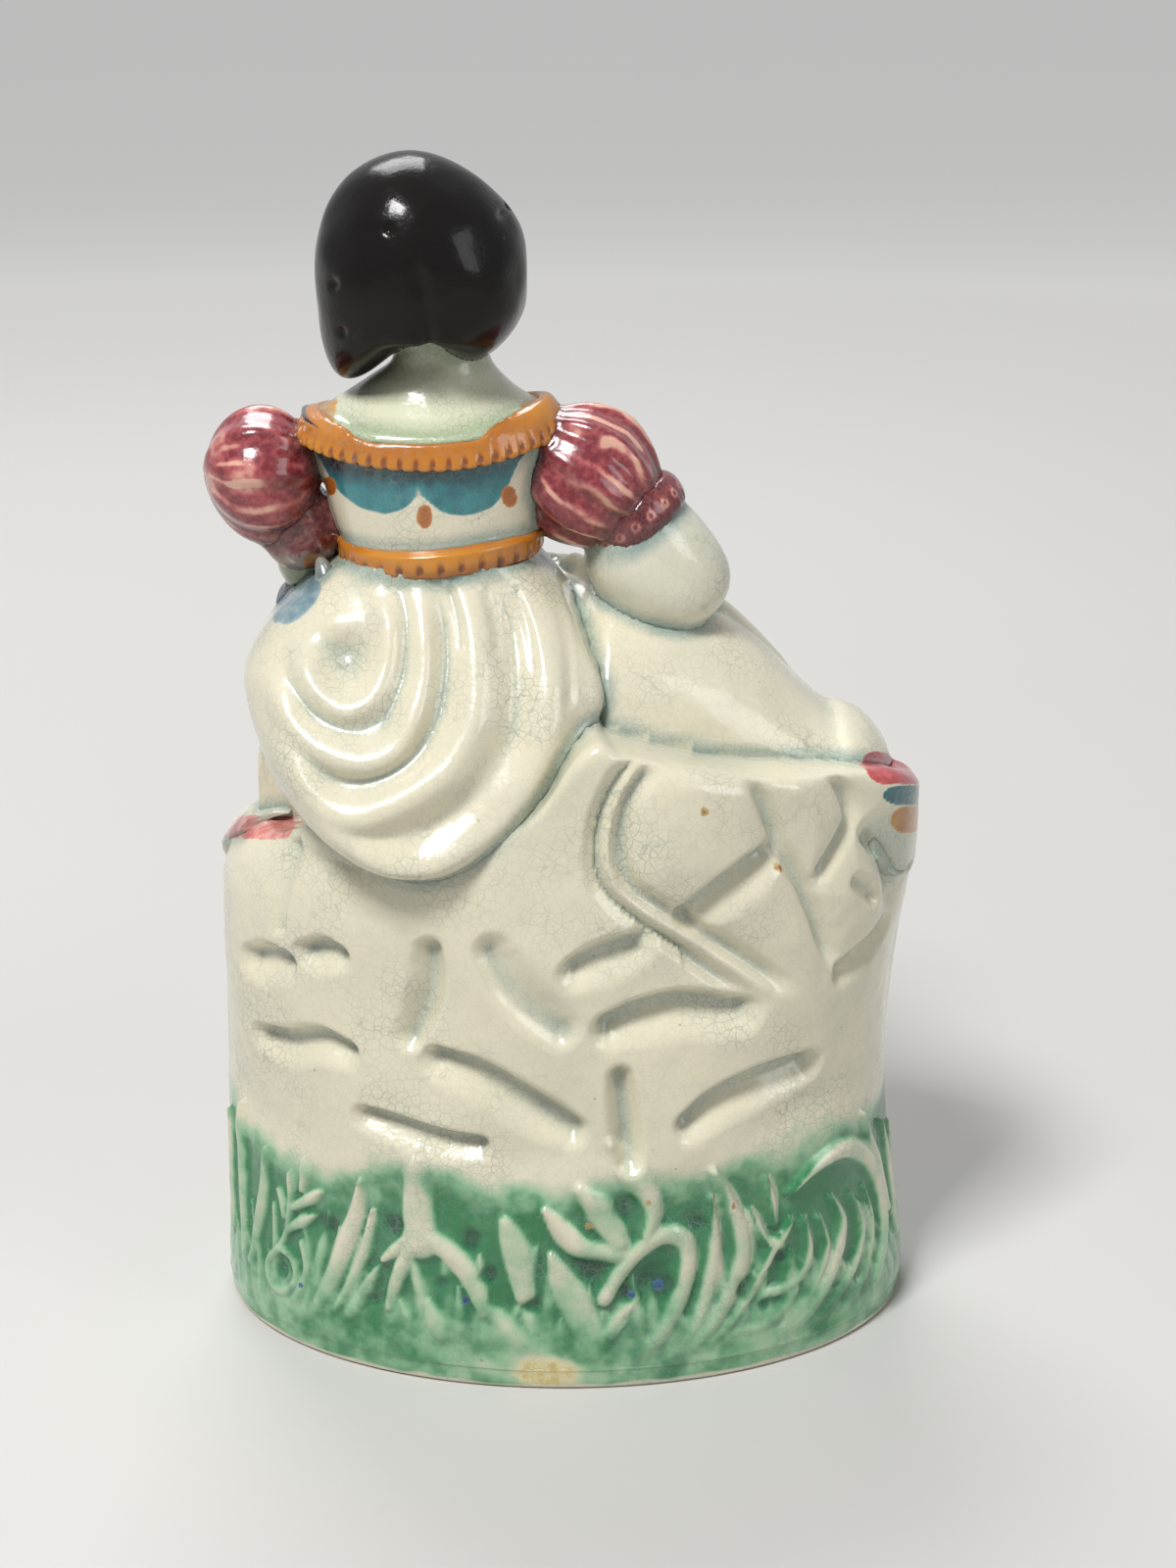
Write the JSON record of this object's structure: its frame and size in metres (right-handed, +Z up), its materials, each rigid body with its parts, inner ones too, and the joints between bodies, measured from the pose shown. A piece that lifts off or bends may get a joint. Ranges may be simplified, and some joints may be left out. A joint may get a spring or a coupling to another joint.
{
  "type": "pottery figure of a seated lady",
  "caption": "Glazed earthenware figure of a lady in puffed sleeves seated on a rocky mound with a grassy foot, finished all round, standing on a flat oval base.",
  "frame": {"origin": "centre of the underside of the base", "axes": "+Z up, +X towards the lady's left, the lady faces -Y"},
  "size_m": [0.078, 0.049, 0.127],
  "materials": {
    "unglazed_foot": "bare fired clay",
    "rock_glaze": "clear lead glaze over cream clay, pooled blue grey in hollows, green at the foot, crazed",
    "gown_glaze": "clear lead glaze with coloured hem bands",
    "bodice_enamel": "clear glaze with teal swags and small ochre dabs",
    "skin_glaze": "clear lead glaze",
    "ochre_enamel": "ochre under clear glaze",
    "hair_enamel": "glossy black brown",
    "sleeve_enamel": "brushed burgundy streaks under clear glaze",
    "shawl_enamel": "blue grey under clear glaze",
    "shoe_enamel": "glossy black"
  },
  "bodies": {
    "root": {"base_slab": "unglazed_foot", "rock_mound_back": "rock_glaze", "rock_mound_front": "rock_glaze", "gown_front_drape": "gown_glaze", "gown_back_swag": "gown_glaze", "gown_lap": "gown_glaze", "bodice": "bodice_enamel", "shoulders_and_neck": "skin_glaze", "waist_band": "ochre_enamel", "collar_frill": "ochre_enamel", "head": "skin_glaze", "hair": "hair_enamel", "left_sleeve": "sleeve_enamel", "left_sleeve_tail": "sleeve_enamel", "right_sleeve": "sleeve_enamel", "right_sleeve_cuff": "sleeve_enamel", "right_upper_arm": "skin_glaze", "right_forearm": "skin_glaze", "right_hand": "skin_glaze", "left_forearm": "skin_glaze", "left_hand": "skin_glaze", "shawl": "shawl_enamel", "right_shoe": "shoe_enamel", "left_shoe": "shoe_enamel"}
  },
  "joints": []
}
